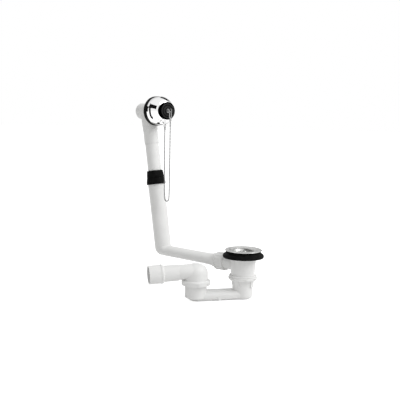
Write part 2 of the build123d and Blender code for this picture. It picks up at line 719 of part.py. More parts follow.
# Overflow housing: barrel closed at the back, neck for the tube, clamp flange and screw post
with BuildPart() as overflow_housing:
    with BuildSketch(head_section):
        with BuildLine():
            Polyline(
                (-BARREL_BACK, 0),
                (-BARREL_BACK, BARREL_RADIUS - BARREL_ROUND),
            )
            TangentArc(
                (-BARREL_BACK, BARREL_RADIUS - BARREL_ROUND),
                (BARREL_ROUND - BARREL_BACK, BARREL_RADIUS),
                tangent=(0, 1),
            )
            Polyline(
                (BARREL_ROUND - BARREL_BACK, BARREL_RADIUS),
                (HOUSING_FACE - HOUSING_FLANGE, BARREL_RADIUS),
                (HOUSING_FACE - HOUSING_FLANGE, HOUSING_FLANGE_RADIUS),
                (HOUSING_FACE, HOUSING_FLANGE_RADIUS),
                (HOUSING_FACE, 0),
                (-BARREL_BACK, 0),
            )
        make_face()
    revolve(axis=head_axis)
    with BuildSketch(neck_face):
        Circle(skirt_radius)
    extrude(amount=NECK_SKIRT)
    with BuildSketch(neck_face.offset(NECK_SKIRT)):
        Circle(neck_radius)
    extrude(amount=NECK_LENGTH)
    with BuildSketch(head_section):
        with BuildLine():
            Polyline(
                (barrel_floor, 0),
                (barrel_floor, barrel_bore - BARREL_ROUND),
            )
            TangentArc(
                (barrel_floor, barrel_bore - BARREL_ROUND),
                (barrel_floor + BARREL_ROUND, barrel_bore),
                tangent=(0, 1),
            )
            Polyline(
                (barrel_floor + BARREL_ROUND, barrel_bore),
                (HOUSING_FACE, barrel_bore),
                (HOUSING_FACE, 0),
                (barrel_floor, 0),
            )
        make_face()
    revolve(axis=head_axis, mode=Mode.SUBTRACT)
    with BuildSketch(neck_face):
        Circle(neck_bore)
    extrude(amount=NECK_SOCKET, mode=Mode.SUBTRACT)
    with BuildSketch(neck_face):
        Circle(neck_bore - NECK_LEDGE)
    extrude(amount=NECK_SKIRT + NECK_LENGTH, mode=Mode.SUBTRACT)
    with BuildSketch(lug_face.offset(POST_FRONT - rosette_face)):
        Circle(post_radius)
    extrude(amount=barrel_floor - POST_FRONT)
    with BuildSketch(lug_face.offset(POST_FRONT - rosette_face)):
        Circle(insert_radius + SLIDE_GAP)
    extrude(amount=-INSERT_LENGTH - SCREW_END, mode=Mode.SUBTRACT)

# Brass insert in the housing's post, the same as the one in the waste
insert_middle = POST_FRONT - INSERT_LENGTH / 2
with BuildPart() as housing_insert:
    with BuildSketch(head_section):
        with BuildLine():
            Polyline(
                (POST_FRONT, screw_hole),
                (POST_FRONT, insert_radius),
                (insert_middle + INSERT_COLLAR, insert_radius),
                (insert_middle + INSERT_COLLAR, insert_groove_radius),
                (insert_middle - INSERT_COLLAR, insert_groove_radius),
                (insert_middle - INSERT_COLLAR, insert_radius),
                (POST_FRONT - INSERT_LENGTH, insert_radius),
                (POST_FRONT - INSERT_LENGTH, screw_hole),
                close=True,
            )
        make_face()
    revolve(axis=head_axis)

# Wall seal between the housing's flange and the cover
with BuildPart() as overflow_seal:
    with BuildSketch(head_section):
        with BuildLine():
            Polyline(
                (HOUSING_FACE, wall_seal_bore),
                (HOUSING_FACE, WALL_SEAL_RADIUS - WALL_SEAL_TAPER),
                (HOUSING_FACE + WALL_SEAL_TAPER, WALL_SEAL_RADIUS),
                (wall_face - SEAL_GROOVE, WALL_SEAL_RADIUS),
                (wall_face, WALL_SEAL_RADIUS - SEAL_GROOVE),
                (wall_face, wall_seal_bore),
                close=True,
            )
        make_face()
    revolve(axis=head_axis)

# Chromed cover: domed shell with a plug recess, an inlet slot below and a chain lug
with BuildPart() as overflow_rosette:
    with BuildSketch(head_section):
        with BuildLine():
            Polyline((wall_face, ROSETTE_RADIUS), (rosette_shoulder, ROSETTE_RADIUS))
            dome = TangentArc(
                (rosette_shoulder, ROSETTE_RADIUS),
                (rosette_edge, ROSETTE_FACE_RADIUS),
                tangent=(1, 0),
            )
            TangentArc(dome @ 1, (rosette_face, recess_mouth_radius), tangent=dome % 1)
            Polyline(
                (rosette_face, recess_mouth_radius),
                (recess_floor, recess_foot_radius),
                (recess_floor, 0),
                (recess_back, 0),
                (recess_back, recess_foot_radius + ROSETTE_WALL),
                (rosette_face - ROSETTE_WALL, recess_mouth_radius + ROSETTE_WALL),
                (rosette_edge - ROSETTE_WALL, ROSETTE_FACE_RADIUS - ROSETTE_WALL),
            )
            TangentArc(
                (rosette_shoulder, ROSETTE_RADIUS - ROSETTE_WALL),
                (rosette_edge - ROSETTE_WALL, ROSETTE_FACE_RADIUS - ROSETTE_WALL),
                tangent=(1, 0),
            )
            Polyline(
                (rosette_shoulder, ROSETTE_RADIUS - ROSETTE_WALL),
                (wall_face, ROSETTE_RADIUS - ROSETTE_WALL),
                (wall_face, ROSETTE_RADIUS),
            )
        make_face()
    revolve(axis=head_axis)
    with BuildSketch(head_section):
        with Locations((inlet_place, -ROSETTE_RADIUS)):
            Rectangle(INLET_LENGTH, ROSETTE_RADIUS)
    extrude(amount=INLET_WIDTH / 2, both=True, mode=Mode.SUBTRACT)
    with BuildSketch(lug_face):
        with BuildLine():
            Polyline(
                (LUG_WIDTH / 2, -LUG_HOLE_DROP),
                (LUG_WIDTH / 2, -LUG_ROOT_DROP),
                (-LUG_WIDTH / 2, -LUG_ROOT_DROP),
                (-LUG_WIDTH / 2, -LUG_HOLE_DROP),
            )
            RadiusArc((LUG_WIDTH / 2, -LUG_HOLE_DROP), (-LUG_WIDTH / 2, -LUG_HOLE_DROP), LUG_WIDTH / 2)
        make_face()
        with Locations((0, -LUG_HOLE_DROP)):
            Circle(LUG_HOLE_RADIUS, mode=Mode.SUBTRACT)
    extrude(amount=-LUG_THICKNESS)
    with BuildSketch(lug_face.offset(-RECESS_DEPTH)):
        Circle(screw_hole)
    extrude(amount=-ROSETTE_WALL, mode=Mode.SUBTRACT)

# Long screw through the cover into the housing's insert, with a raised slotted head
rosette_screw_end = POST_FRONT - INSERT_LENGTH
with BuildPart() as rosette_screw:
    with BuildSketch(head_section):
        with BuildLine():
            TangentArc(
                (recess_floor, SCREW_HEAD_RADIUS),
                (recess_floor + 2 * SCREW_HEAD_DOME, 0),
                tangent=(1, 0),
            )
            Polyline(
                (recess_floor + 2 * SCREW_HEAD_DOME, 0),
                (rosette_screw_end, 0),
                (rosette_screw_end, SCREW_RADIUS),
                (recess_floor, SCREW_RADIUS),
                (recess_floor, SCREW_HEAD_RADIUS),
            )
        make_face()
    revolve(axis=head_axis)
    with BuildSketch(lug_face.offset(SCREW_HEAD_DOME - RECESS_DEPTH)):
        Rectangle(2 * SCREW_HEAD_RADIUS, SCREW_SLOT)
    extrude(amount=SCREW_HEAD_DOME, mode=Mode.SUBTRACT)

# Plug: tapered rubber cup parked in the cover, with rings on its face and a hole for the eye
with BuildPart() as plug:
    with BuildSketch(head_section):
        with BuildLine():
            Polyline(
                (recess_floor, PLUG_HOLLOW_RADIUS),
                (recess_floor, PLUG_FOOT_RADIUS),
                (plug_front - PLUG_ROUND, PLUG_RADIUS),
                (plug_front, PLUG_RADIUS - PLUG_ROUND),
                (plug_front, EYE_SHANK_RADIUS + RUBBER_GAP),
                (plug_web, EYE_SHANK_RADIUS + RUBBER_GAP),
                (plug_web, PLUG_HOLLOW_RADIUS),
                close=True,
            )
        make_face()
    revolve(axis=head_axis)
    with BuildSketch(head_section):
        with Locations(*[(plug_front, ring) for ring in PLUG_RING_RADII]):
            Rectangle(2 * PLUG_RING_DEPTH, PLUG_RING)
    revolve(axis=head_axis, mode=Mode.SUBTRACT)

# Eye: ring on a disc, with a shank through the plug and a rivet head behind it
with BuildPart() as plug_eye:
    with BuildSketch(head_section):
        with BuildLine():
            Polyline(
                (eye_place - EYE_RADIUS, 0),
                (eye_place - EYE_RADIUS, EYE_WIRE),
                (plug_front + EYE_DISC, EYE_WIRE),
                (plug_front + EYE_DISC, EYE_DISC_RADIUS),
                (plug_front, EYE_DISC_RADIUS),
                (plug_front, EYE_SHANK_RADIUS),
                (plug_web, EYE_SHANK_RADIUS),
                (plug_web, EYE_DISC_RADIUS),
                (plug_web - EYE_DISC, EYE_DISC_RADIUS),
                (plug_web - EYE_DISC, 0),
                close=True,
            )
        make_face()
    revolve(axis=head_axis)
    with Locations(Plane(origin=eye_point, x_dir=head_ahead, z_dir=-head_side)):
        Torus(EYE_RADIUS, EYE_WIRE)

# Wire link through the eye
link_straight = LINK_LENGTH - 2 * LINK_HALF_WIDTH
with BuildPart() as plug_link:
    with BuildLine(link_plane) as link_path:
        Line((LINK_HALF_WIDTH, -LINK_HALF_WIDTH - link_straight), (LINK_HALF_WIDTH, -LINK_HALF_WIDTH))
        ThreePointArc((LINK_HALF_WIDTH, -LINK_HALF_WIDTH), (0, 0), (-LINK_HALF_WIDTH, -LINK_HALF_WIDTH))
        Line((-LINK_HALF_WIDTH, -LINK_HALF_WIDTH), (-LINK_HALF_WIDTH, -LINK_HALF_WIDTH - link_straight))
        ThreePointArc(
            (-LINK_HALF_WIDTH, -LINK_HALF_WIDTH - link_straight),
            (0, -LINK_LENGTH),
            (LINK_HALF_WIDTH, -LINK_HALF_WIDTH - link_straight),
        )
    with BuildSketch(Plane(origin=link_path.line @ 0, z_dir=link_path.line % 0)):
        Circle(LINK_WIRE)
    sweep()

# Chain end under the link, slotted for its wire
with BuildPart() as plug_bell:
    with BuildSketch(plug_bell_face):
        Circle(BELL_RADIUS)
    extrude(amount=BELL_BODY + BELL_HOOD)
    with BuildSketch(plug_bell_face.offset(BELL_BODY)):
        Rectangle(2 * (LINK_WIRE + RUBBER_GAP), 2 * BELL_RADIUS)
    extrude(amount=BELL_HOOD, mode=Mode.SUBTRACT)

# Ring through the cover's lug
with BuildPart() as anchor_ring:
    with Locations(Plane(origin=ring_point, x_dir=head_ahead, z_dir=-head_side)):
        Torus(RING_RADIUS, RING_WIRE)

# Chain end under the ring, slotted for its wire
with BuildPart() as anchor_bell:
    with BuildSketch(anchor_bell_face):
        Circle(BELL_RADIUS)
    extrude(amount=BELL_BODY + BELL_HOOD)
    with BuildSketch(anchor_bell_face.offset(BELL_BODY)):
        Rectangle(2 * BELL_RADIUS, 2 * (RING_WIRE + RUBBER_GAP))
    extrude(amount=BELL_HOOD, mode=Mode.SUBTRACT)

# Chain as a plain tube from the plug's chain end, down, round the loop and up to the cover's
plug_side = (*CHAIN_BEND, CHAIN_PLUG_SIDE)
anchor_side = (*CHAIN_BEND, CHAIN_ANCHOR_SIDE)
plug_strand = [chain_bottom + head_ahead * x + Vector(0, 0, z) for x, z in plug_side]
anchor_strand = [chain_bottom - head_ahead * x + Vector(0, 0, z) for x, z in anchor_side]
chain_points = [plug_bell_foot, *reversed(plug_strand), *anchor_strand, anchor_bell_foot]
chain_radii = []
for before, point, after in zip(chain_points, chain_points[1:], chain_points[2:]):
    run_in = point - before
    run_out = after - point
    half_turn = radians(run_in.get_angle(run_out)) / 2
    chain_radii.append(CHAIN_BEND_SHARE * min(run_in.length, run_out.length) / tan(half_turn))
with BuildPart() as ball_chain:
    with BuildLine() as chain_path:
        FilletPolyline(*chain_points, radius=chain_radii)
    with BuildSketch(Plane(origin=chain_path.line @ 0, z_dir=chain_path.line % 0)):
        Circle(CHAIN_RADIUS)
    sweep()

# Union nut between the body and the trap, with two rims and spanner notches
with BuildPart() as trap_inlet_nut:
    with BuildSketch(Plane.XZ):
        with BuildLine():
            Polyline(
                (inlet_leg_radius + SLIDE_GAP, inlet_nut_foot),
                (inlet_nut_radius - NUT_STEP, inlet_nut_foot),
                (inlet_nut_radius, inlet_nut_foot + NUT_STEP),
                (inlet_nut_radius, inlet_nut_foot + NUT_HEIGHT / 2),
                (inlet_nut_radius - NUT_STEP, inlet_nut_foot + NUT_HEIGHT / 2 + NUT_STEP / 2),
                (inlet_nut_radius - NUT_STEP / 2, inlet_nut_top - NUT_STEP / 2),
                (inlet_nut_radius - NUT_STEP, inlet_nut_top),
                (inlet_nut_bore, inlet_nut_top),
                (inlet_nut_bore, inlet_flange_foot),
                (inlet_leg_radius + SLIDE_GAP, inlet_flange_foot),
                close=True,
            )
        make_face()
    revolve(axis=Axis.Z)
    with BuildSketch(Plane.XY.offset(inlet_nut_foot)):
        with PolarLocations(inlet_nut_radius, NUT_NOTCHES):
            Rectangle(2 * NUT_NOTCH_DEPTH, NUT_NOTCH_WIDTH)
    extrude(amount=NUT_HEIGHT / 2, mode=Mode.SUBTRACT)

# Flat rubber ring in that nut
with BuildPart() as trap_inlet_seal:
    with BuildSketch(Plane.XY.offset(inlet_seal_foot)):
        Circle(BODY_FOOT_RADIUS)
        Circle(inlet_bore, mode=Mode.SUBTRACT)
    extrude(amount=UNION_SEAL)

# Trap body: two legs joined by a flat trough, hollow throughout
with BuildPart() as trap_body:
    with BuildSketch(Plane.XZ):
        with BuildLine():
            Polyline((0, trough_foot), (inlet_leg_radius - LEG_ROUND, trough_foot))
            TangentArc(
                (inlet_leg_radius - LEG_ROUND, trough_foot),
                (inlet_leg_radius, trough_foot + LEG_ROUND),
                tangent=(1, 0),
            )
            Polyline(
                (inlet_leg_radius, trough_foot + LEG_ROUND),
                (inlet_leg_radius, inlet_flange_foot),
                (BODY_FOOT_RADIUS, inlet_flange_foot),
                (BODY_FOOT_RADIUS, inlet_seal_foot),
                (0, inlet_seal_foot),
                (0, trough_foot),
            )
        make_face()
    revolve(axis=Axis.Z)
    with BuildSketch(leg_section):
        with BuildLine():
            Polyline(
                (0, trough_foot),
                (OUTLET_LEG_RADIUS - LEG_CHAMFER_RUN, trough_foot),
                (OUTLET_LEG_RADIUS, trough_foot + LEG_CHAMFER),
                (OUTLET_LEG_RADIUS, outlet_leg_top - OUTLET_COLLAR),
                (limb_flange_radius, outlet_leg_top - OUTLET_COLLAR),
                (limb_flange_radius, outlet_leg_top),
                (0, outlet_leg_top),
                close=True,
            )
        make_face()
    revolve(axis=leg_axis)
    with BuildSketch(trough_face):
        SlotOverall(TROUGH_WIDTH, TROUGH_HEIGHT)
    extrude(amount=LEG_SPACING)
    with BuildSketch(Plane(origin=seam_point, x_dir=trap_along, z_dir=(0, 0, 1))):
        Rectangle(SEAM_LENGTH, TROUGH_WIDTH + 2 * SEAM_PROUD)
    extrude(amount=SEAM_WIDTH / 2, both=True)
    with BuildSketch(Plane(origin=gate_point, x_dir=trap_along, z_dir=-trap_across)):
        Circle(GATE_RADIUS)
    extrude(amount=TROUGH_WIDTH / 2 + GATE_PROUD)
    with BuildSketch(Plane.XY.offset(inlet_nut_foot)):
        with PolarLocations(inlet_leg_radius, LUG_BLOCKS, start_angle=LUG_BLOCK_ANGLE):
            Rectangle(2 * LUG_BLOCK, LUG_BLOCK_WIDTH)
    extrude(amount=-LUG_BLOCK_HEIGHT)
    with BuildSketch(Plane.XZ):
        with BuildLine():
            Polyline((0, trough_foot + TRAP_WALL), (inlet_leg_radius - LEG_ROUND, trough_foot + TRAP_WALL))
            TangentArc(
                (inlet_leg_radius - LEG_ROUND, trough_foot + TRAP_WALL),
                (inlet_bore, trough_foot + LEG_ROUND),
                tangent=(1, 0),
            )
            Polyline(
                (inlet_bore, trough_foot + LEG_ROUND),
                (inlet_bore, inlet_seal_foot),
                (0, inlet_seal_foot),
                (0, trough_foot + TRAP_WALL),
            )
        make_face()
    revolve(axis=Axis.Z, mode=Mode.SUBTRACT)
    with BuildSketch(leg_section):
        with BuildLine():
            Polyline(
                (0, trough_foot + TRAP_WALL),
                (outlet_bore - LEG_CHAMFER_RUN, trough_foot + TRAP_WALL),
                (outlet_bore, trough_foot + TRAP_WALL + LEG_CHAMFER),
                (outlet_bore, outlet_leg_top),
                (0, outlet_leg_top),
                close=True,
            )
        make_face()
    revolve(axis=leg_axis, mode=Mode.SUBTRACT)
    with BuildSketch(trough_face):
        SlotOverall(TROUGH_WIDTH - 2 * TRAP_WALL, TROUGH_HEIGHT - 2 * TRAP_WALL)
    extrude(amount=LEG_SPACING, mode=Mode.SUBTRACT)

# Union nut between the trap and the outlet elbow
with BuildPart() as trap_outlet_nut:
    with BuildSketch(leg_section):
        with BuildLine():
            Polyline(
                (LIMB_FOOT_RADIUS + SLIDE_GAP, outlet_nut_top),
                (outlet_nut_radius - NUT_LIP, outlet_nut_top),
                (outlet_nut_radius, outlet_nut_top - NUT_LIP),
                (outlet_nut_radius, outlet_nut_foot),
                (outlet_nut_bore, outlet_nut_foot),
                (outlet_nut_bore, limb_foot),
                (LIMB_FOOT_RADIUS + SLIDE_GAP, limb_foot),
                close=True,
            )
        make_face()
    revolve(axis=leg_axis)
    with BuildSketch(Plane(origin=leg_point + Vector(0, 0, outlet_nut_foot))):
        with PolarLocations(outlet_nut_radius, NUT_NOTCHES):
            Rectangle(2 * OUTLET_NUT_NOTCH_DEPTH, NUT_NOTCH_WIDTH)
    extrude(amount=NUT_HEIGHT / 2, mode=Mode.SUBTRACT)

# Flat rubber ring in that nut
with BuildPart() as trap_outlet_seal:
    with BuildSketch(Plane(origin=leg_point + Vector(0, 0, outlet_leg_top))):
        Circle(limb_flange_radius)
        Circle(outlet_bore, mode=Mode.SUBTRACT)
    extrude(amount=UNION_SEAL)

# Outlet elbow: domed limb, and a falling pipe in three steps that spreads sideways into the limb
limb_top = outlet_level + OUTLET_NECK_RADIUS
limb_inner_top = limb_top - ELBOW_WALL
limb_neck = limb_top - LIMB_FOOT_RADIUS + LIMB_FLAT
flare_height = OUTLET_NECK_RADIUS - ELBOW_EASE
flare_end = OUTLET_BARREL_RADIUS - ELBOW_EASE
flare_root = Plane(origin=outlet_point, x_dir=trap_across, z_dir=outlet_dir)
with BuildPart() as outlet_elbow:
    with BuildSketch(leg_section):
        with BuildLine():
            Polyline((0, limb_top), (LIMB_FLAT, limb_top))
            TangentArc((LIMB_FLAT, limb_top), (LIMB_FOOT_RADIUS, limb_neck), tangent=(1, 0))
            Polyline(
                (LIMB_FOOT_RADIUS, limb_neck),
                (LIMB_FOOT_RADIUS, limb_foot),
                (limb_flange_radius, limb_foot),
                (limb_flange_radius, outlet_seal_top),
                (0, outlet_seal_top),
                (0, limb_top),
            )
        make_face()
    revolve(axis=leg_axis)
    with BuildSketch(outlet_section):
        with BuildLine():
            Polyline(
                (0, 0),
                (0, OUTLET_NECK_RADIUS),
                (OUTLET_NECK_END, OUTLET_NECK_RADIUS),
                (OUTLET_NECK_END + OUTLET_BEAD, OUTLET_BARREL_RADIUS),
                (OUTLET_BARREL_END - OUTLET_BEAD_WIDTH, OUTLET_BARREL_RADIUS),
                (OUTLET_BARREL_END, OUTLET_SPIGOT_RADIUS + OUTLET_BEAD),
                (OUTLET_BARREL_END + OUTLET_BEAD_WIDTH, OUTLET_SPIGOT_RADIUS + OUTLET_BEAD),
                (OUTLET_BARREL_END + OUTLET_BEAD_WIDTH, OUTLET_SPIGOT_RADIUS),
                (OUTLET_END, OUTLET_SPIGOT_RADIUS),
                (OUTLET_END, 0),
                close=True,
            )
        make_face()
    revolve(axis=outlet_axis)
    with BuildSketch(flare_root):
        Ellipse(OUTLET_FLARE, flare_height)
    with BuildSketch(flare_root.offset(OUTLET_NECK_END)):
        Ellipse(flare_end, flare_height)
    loft()
    with BuildSketch(leg_section):
        with BuildLine():
            Polyline(
                (0, outlet_seal_top),
                (LIMB_FOOT_RADIUS - ELBOW_WALL, outlet_seal_top),
                (LIMB_FOOT_RADIUS - ELBOW_WALL, limb_neck),
            )
            TangentArc(
                (LIMB_FLAT, limb_inner_top),
                (LIMB_FOOT_RADIUS - ELBOW_WALL, limb_neck),
                tangent=(1, 0),
            )
            Polyline(
                (LIMB_FLAT, limb_inner_top),
                (0, limb_inner_top),
                (0, outlet_seal_top),
            )
        make_face()
    revolve(axis=leg_axis, mode=Mode.SUBTRACT)
    with BuildSketch(outlet_section):
        with BuildLine():
            Polyline(
                (0, 0),
                (0, outlet_neck_bore),
                (OUTLET_NECK_END, outlet_neck_bore),
                (OUTLET_NECK_END + OUTLET_BEAD, outlet_barrel_bore),
                (OUTLET_BARREL_END, outlet_barrel_bore),
                (OUTLET_BARREL_END, outlet_spigot_bore),
                (OUTLET_END, outlet_spigot_bore),
                (OUTLET_END, 0),
                close=True,
            )
        make_face()
    revolve(axis=outlet_axis, mode=Mode.SUBTRACT)
    with BuildSketch(flare_root):
        Ellipse(OUTLET_FLARE - ELBOW_WALL, flare_height - ELBOW_WALL)
    with BuildSketch(flare_root.offset(OUTLET_NECK_END)):
        Ellipse(flare_end - ELBOW_WALL, flare_height - ELBOW_WALL)
    loft(mode=Mode.SUBTRACT)

# Files, one for each piece
pieces = {
    "waste_flange": waste_flange,
    "waste_screw": waste_screw,
    "waste_seal": waste_seal,
    "waste_body": waste_body,
    "waste_insert": waste_insert,
    "port_nut": port_nut,
    "port_seal": port_seal,
    "overflow_pipe": overflow_pipe,
    "overflow_tube": overflow_tube,
    "coupling_sleeve": coupling_sleeve,
    "neck_seal": neck_seal,
    "overflow_housing": overflow_housing,
    "housing_insert": housing_insert,
    "overflow_seal": overflow_seal,
    "overflow_rosette": overflow_rosette,
    "rosette_screw": rosette_screw,
    "plug": plug,
    "plug_eye": plug_eye,
    "plug_link": plug_link,
    "plug_bell": plug_bell,
    "anchor_ring": anchor_ring,
    "anchor_bell": anchor_bell,
    "ball_chain": ball_chain,
    "trap_inlet_nut": trap_inlet_nut,
    "trap_inlet_seal": trap_inlet_seal,
    "trap_body": trap_body,
    "trap_outlet_nut": trap_outlet_nut,
    "trap_outlet_seal": trap_outlet_seal,
    "outlet_elbow": outlet_elbow,
}
os.makedirs("parts", exist_ok=True)
for name, piece in pieces.items():
    piece.part.label = name
    export_step(piece.part, f"parts/{name}.step")

print("chain points", [tuple(round(value, 2) for value in point) for point in chain_points])
print("chain radii", [round(radius, 1) for radius in chain_radii])
chain_length = sum(edge.length for edge in chain_path.edges())
print("chain length", round(chain_length, 1), "volume", round(ball_chain.part.volume, 1))
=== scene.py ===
import json
import math

import bmesh
import bpy
from mathutils import Matrix, Vector


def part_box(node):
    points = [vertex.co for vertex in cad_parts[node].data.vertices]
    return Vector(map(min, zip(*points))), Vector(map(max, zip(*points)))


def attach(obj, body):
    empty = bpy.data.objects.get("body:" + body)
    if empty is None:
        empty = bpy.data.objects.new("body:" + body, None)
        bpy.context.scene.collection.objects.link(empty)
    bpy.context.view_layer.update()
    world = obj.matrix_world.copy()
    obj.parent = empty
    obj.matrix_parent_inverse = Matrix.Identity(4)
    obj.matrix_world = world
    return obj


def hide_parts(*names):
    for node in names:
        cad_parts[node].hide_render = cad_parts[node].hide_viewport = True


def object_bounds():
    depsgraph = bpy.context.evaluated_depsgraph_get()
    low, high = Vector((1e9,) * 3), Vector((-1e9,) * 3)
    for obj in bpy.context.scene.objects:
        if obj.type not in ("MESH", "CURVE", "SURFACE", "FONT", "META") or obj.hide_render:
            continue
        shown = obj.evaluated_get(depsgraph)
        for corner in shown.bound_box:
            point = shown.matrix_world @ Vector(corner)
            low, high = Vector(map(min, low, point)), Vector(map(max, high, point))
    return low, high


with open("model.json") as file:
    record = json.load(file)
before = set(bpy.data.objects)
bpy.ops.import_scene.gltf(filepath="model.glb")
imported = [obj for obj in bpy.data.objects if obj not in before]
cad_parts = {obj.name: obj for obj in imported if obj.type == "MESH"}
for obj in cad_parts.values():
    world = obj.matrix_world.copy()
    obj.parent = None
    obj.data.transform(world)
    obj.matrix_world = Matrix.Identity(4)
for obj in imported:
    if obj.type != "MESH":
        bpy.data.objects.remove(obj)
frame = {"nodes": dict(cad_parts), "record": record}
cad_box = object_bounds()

# Metres and degrees, in the frame of the solids: origin on the waste axis at the bath floor, +Z up.

# Camera, from the photograph: a 400 by 400 picture, the origin at a pixel of it
PICTURE = 400
FOCAL_PIXELS = 680.0
SENSOR = 36.0
CAMERA_TURN = 41.0
CAMERA_RISE = 6.6
CAMERA_ROLL = 1.0
CAMERA_DISTANCE = 1.476
ORIGIN_PIXEL = (243.4, 250.0)

# Chain, with the route of the solid tube from the plug's end to the cover's
BALL_RADIUS = 0.0015
BALL_PITCH = 0.0033
BALL_RINGS = 10
BALL_SEGMENTS = 16
CHAIN_WIRE = 0.0007
WIRE_SIDES = 6
ROUTE_ORDER = 3
ROUTE_RESOLUTION = 24
CHAIN_ROUTE = [
    (-0.20491, -0.01956, 0.27532),
    (-0.20503, -0.01954, 0.23262),
    (-0.20517, -0.01951, 0.19062),
    (-0.20537, -0.01947, 0.15062),
    (-0.20576, -0.01938, 0.12062),
    (-0.20625, -0.01928, 0.10262),
    (-0.20713, -0.01909, 0.09312),
    (-0.21182, -0.01809, 0.08862),
    (-0.21965, -0.01643, 0.08862),
    (-0.22435, -0.01543, 0.09312),
    (-0.22523, -0.01525, 0.10262),
    (-0.22571, -0.01514, 0.12062),
    (-0.22611, -0.01506, 0.15062),
    (-0.22630, -0.01502, 0.19062),
    (-0.22645, -0.01499, 0.22362),
    (-0.22656, -0.01496, 0.25428),
]

# Noise in the looks: the span that is used of its values, its detail, and the depths of the grains
NOISE_LOW = 0.3
NOISE_HIGH = 0.7
CLOUD_DETAIL = 3.0
GRAIN_DETAIL = 2.0
MOULDED_GRAIN = 0.0001
METAL_GRAIN = 0.00005

# Plastic: tones, roughness, gloss, and the scales of its clouds, its dull patches and its grain
PLASTIC_DARK = (0.79, 0.79, 0.78)
PLASTIC_LIGHT = (0.84, 0.84, 0.83)
PLASTIC_ROUGHNESS = (0.38, 0.50)
PLASTIC_GLOSS = 0.35
PLASTIC_CLOUDS = 30
PLASTIC_PATCHES = 90
PLASTIC_GRAIN = 900
PLASTIC_GRAIN_STRENGTH = 0.12

# Rubber: the same for the seals and the sleeve
RUBBER_BLACK = (0.004, 0.004, 0.004)
RUBBER_CLOUD = (0.010, 0.010, 0.010)
RUBBER_ROUGHNESS = (0.45, 0.62)
RUBBER_GLOSS = 0.03
RUBBER_CLOUDS = 120
RUBBER_PATCHES = 220
RUBBER_GRAIN = 1400
RUBBER_GRAIN_STRENGTH = 0.2

# Plug: its rubber, the painted sheen over its face, and the ring grooves with painted highlight, by their
# radii
PLUG_BLACK = (0.001, 0.001, 0.001)
# the lighter tone is a painted highlight on the ring grooves, and the level after it a painted sheen over the
# face
PLUG_PAINTED_HIGHLIGHT = (0.048, 0.048, 0.048)
PLUG_GLOSS = 0.0
FACE_PAINTED_SHEEN = 0.1
RING_START = 0.0095
RING_PITCH = 0.0070
FACE_MIDDLE = 0.009
FACE_REACH = 0.0085

# Metals: the dark and the light tone, the roughness, the grain's scale and strength, and the edge tone
METAL_CLOUDS = 60
METAL_PATCHES = 160
METALS = {
    "chromed_cover": ((0.86, 0.86, 0.86), (0.90, 0.90, 0.90), (0.02, 0.05), 700, 0.01, 0.5),
    "steel_fastener": ((0.50, 0.50, 0.49), (0.60, 0.60, 0.59), (0.18, 0.30), 1500, 0.1, 1.0),
    "insert_brass": ((0.66, 0.48, 0.20), (0.76, 0.58, 0.28), (0.22, 0.36), 1500, 0.1, 1.0),
    "chain_metal": ((0.18, 0.18, 0.18), (0.27, 0.27, 0.27), (0.16, 0.28), 1500, 0.08, 1.0),
    "flange_steel": ((0.56, 0.56, 0.55), (0.66, 0.66, 0.65), (0.20, 0.30), 1500, 0.05, 0.65),
    "fitting_metal": ((0.40, 0.40, 0.40), (0.50, 0.50, 0.50), (0.16, 0.28), 1500, 0.08, 1.0),
}

# Nodes with a look other than that of their slot
OWN_LOOKS = {
    "waste_flange": "flange_steel",
    "plug": "plug_rubber",
    "plug_link": "fitting_metal",
    "plug_bell": "fitting_metal",
    "anchor_bell": "fitting_metal",
    "anchor_ring": "fitting_metal",
}

# Stage: floor, the world's light on the object, and the key lamp, placed right, up and back from the middle
FLOOR_SIZE = 30.0
FLOOR_TONE = 0.8
FLOOR_ROUGHNESS = 0.9
FLOOR_GLOW = 0.72
AMBIENT = 0.63
KEY_SIZE = 1.4
KEY_POWER = 26.0
KEY_PLACE = (1.6, 1.3, 0.7)

# Dark ribbons that only the polished parts mirror: the node they face, the distance, the breadth
# and the way, by turns from the camera and rises
FLAG_TONE = 0.01
FLAGS = {
    "flag_frame_top": (
        "overflow_rosette", 1.2, 0.52,
        [(-106, 25), (-80, 27), (-48, 29), (-20, 26), (2, 20)],
    ),
    "flag_frame_side": (
        "overflow_rosette", 0.5, 0.2,
        [(-82, 18), (-77, 0), (-77, -20), (-80, -36), (-68, -48)],
    ),
    "flag_overhead": (
        "overflow_rosette", 1.5, 0.75,
        [(178, 48), (160, 47), (146, 44), (132, 37)],
    ),
    "flag_right_back": (
        "waste_flange", 2.0, 0.8,
        [(138, 3), (152, 3), (166, 3)],
    ),
    "flag_left_back": (
        "waste_flange", 1.8, 0.6,
        [(-140, 16), (-125, 16), (-110, 16)],
    ),
}


def link_object(name, data):
    """A new object in the scene for some data."""
    made = bpy.data.objects.new(name, data)
    bpy.context.scene.collection.objects.link(made)
    return made


def mesh_object(name, bm):
    """A new mesh object, smooth shaded, from a bmesh that is used up."""
    mesh = bpy.data.meshes.new(name)
    bm.to_mesh(mesh)
    bm.free()
    for polygon in mesh.polygons:
        polygon.use_smooth = True
    return link_object(name, mesh)


# Camera
turn = math.radians(CAMERA_TURN)
rise = math.radians(CAMERA_RISE)
roll = math.radians(CAMERA_ROLL)
view_back = Vector((math.sin(turn) * math.cos(rise), -math.cos(turn) * math.cos(rise), math.sin(rise)))
level_right = Vector((math.cos(turn), math.sin(turn), 0))
level_up = view_back.cross(level_right)
view_right = level_right * math.cos(roll) + level_up * math.sin(roll)
view_up = level_up * math.cos(roll) - level_right * math.sin(roll)
across = (ORIGIN_PIXEL[0] - PICTURE / 2) / FOCAL_PIXELS
above = (PICTURE / 2 - ORIGIN_PIXEL[1]) / FOCAL_PIXELS
camera_place = (view_back - view_right * across - view_up * above) * CAMERA_DISTANCE
camera_data = bpy.data.cameras.new("camera")
camera_data.sensor_width = SENSOR
camera_data.lens = FOCAL_PIXELS * SENSOR / PICTURE
camera = link_object("camera", camera_data)
axes = Matrix((view_right, view_up, view_back)).transposed()
